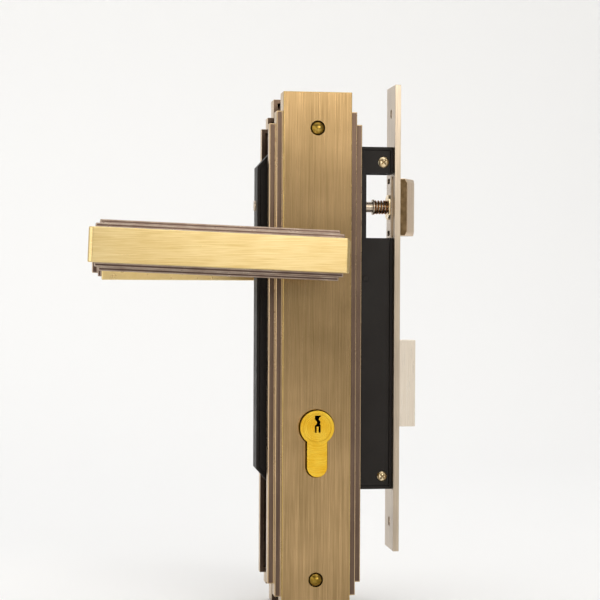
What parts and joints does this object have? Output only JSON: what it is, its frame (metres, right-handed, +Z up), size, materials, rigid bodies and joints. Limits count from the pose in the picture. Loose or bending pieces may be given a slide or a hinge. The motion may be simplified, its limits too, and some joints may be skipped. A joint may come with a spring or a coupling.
{
  "type": "lever handle lockset",
  "caption": "Mortise lockset with forend, latch and deadbolt, two stepped backplates with stepped lever handles, and a euro-profile cylinder keyed from both sides.",
  "frame": {"origin": "on the forend's outer face, midway between its two screw holes", "axes": "+X out of the door's edge, the way the bolts leave; +Y through the door to the rear side; +Z up"},
  "size_m": [0.169, 0.1475, 0.2671],
  "materials": {
    "satin_nickel_steel": "satin nickel plated steel",
    "black_powder_coat": "fine textured black powder coat",
    "pale_plated_steel": "pale yellow passivated steel",
    "plain_steel": "zinc plated steel",
    "spring_steel": "drawn spring wire and strip",
    "bright_brass": "turned and polished brass",
    "pin_bronze": "bronze",
    "brushed_antique_brass": "vertically brushed antique brass, lacquered",
    "brushed_gold_brass": "brushed pale gold on a dark patinated step",
    "nylon_bush": "moulded nylon",
    "dark_bronze": "dark antique bronze",
    "bronzed_latch_metal": "bronzed zinc alloy",
    "nickel_bolt_metal": "nickel plated, ground face"
  },
  "bodies": {
    "lock_frame": {"forend": "satin_nickel_steel", "case_tray": "black_powder_coat", "case_lid": "black_powder_coat", "case_screws": "pale_plated_steel", "case_posts": "plain_steel", "case_rivet": "black_powder_coat", "forend_rivets": "satin_nickel_steel", "latch_guide": "plain_steel", "bolt_guide_pins": "plain_steel", "bolt_detent_spring": "spring_steel", "detent_anchor": "plain_steel", "cylinder_body": "bright_brass", "cylinder_screw": "plain_steel", "driver_pins": "pin_bronze", "pin_springs": "spring_steel", "front_plate": "brushed_antique_brass", "rear_plate": "brushed_antique_brass", "front_bush": "nylon_bush", "rear_bush": "nylon_bush", "sleeve_nuts": "dark_bronze", "through_screws": "dark_bronze", "front_lever_spring": "spring_steel", "rear_lever_spring": "spring_steel", "latch_return_spring": "spring_steel"},
    "handle": {"front_lever": "brushed_gold_brass", "rear_lever": "brushed_gold_brass", "spindle": "plain_steel", "follower": "plain_steel", "front_grub_screw": "plain_steel", "rear_grub_screw": "plain_steel", "front_circlip": "spring_steel", "rear_circlip": "spring_steel", "front_spring_cam": "plain_steel", "rear_spring_cam": "plain_steel"},
    "latch": {"latch_head": "bronzed_latch_metal", "latch_flange": "satin_nickel_steel", "latch_collar": "plain_steel", "latch_head_spring": "pin_bronze", "latch_ring": "plain_steel", "latch_rod": "satin_nickel_steel", "latch_yoke": "plain_steel"},
    "deadbolt": {"bolt_head": "nickel_bolt_metal", "bolt_tail": "plain_steel", "bolt_rivets": "plain_steel"},
    "front_key_group": {"front_plug": "bright_brass", "front_key_pins": "pin_bronze", "front_plug_clip": "spring_steel"},
    "cam_group": {"cam": "plain_steel", "clutch": "pin_bronze"},
    "rear_key_group": {"rear_plug": "bright_brass", "rear_key_pins": "pin_bronze", "rear_plug_clip": "spring_steel"}
  },
  "joints": [
    {"name": "lever_turn", "type": "hinge", "parent": "lock_frame", "child": "handle", "pos_m": [-0.045, 0, 0.031], "axis": [0, -1, 0], "range_deg": [0, 40], "stiffness_Nm_per_rad": 1.5, "springref_deg": -20.05, "deforming": ["front_lever_spring", "rear_lever_spring"]},
    {"name": "latch_slide", "type": "slide", "parent": "lock_frame", "child": "latch", "axis": [1, 0, 0], "range_m": [-0.01, 0], "deforming": ["latch_return_spring"]},
    {"name": "key_turn", "type": "hinge", "parent": "lock_frame", "child": "front_key_group", "pos_m": [-0.045, 0, -0.054], "axis": [0, 1, 0], "range_deg": [-54, 54]},
    {"name": "cam_turn", "type": "hinge", "parent": "lock_frame", "child": "cam_group", "pos_m": [-0.045, 0, -0.054], "axis": [0, 1, 0], "range_deg": [-54.1, 54.1]},
    {"name": "deadbolt_slide", "type": "slide", "parent": "lock_frame", "child": "deadbolt", "axis": [1, 0, 0], "range_m": [-0.01, 0.01], "deforming": ["bolt_detent_spring"]},
    {"name": "rear_key_turn", "type": "hinge", "parent": "lock_frame", "child": "rear_key_group", "pos_m": [-0.045, 0, -0.054], "axis": [0, 1, 0], "range_deg": [-54, 54]}
  ],
  "couplings": [
    {"joint": "latch_slide", "follows": "lever_turn", "m_per_rad": -0.01432},
    {"joint": "key_turn", "follows": "deadbolt_slide", "rad_per_m": 94.24},
    {"joint": "cam_turn", "follows": "deadbolt_slide", "rad_per_m": 94.24}
  ]
}
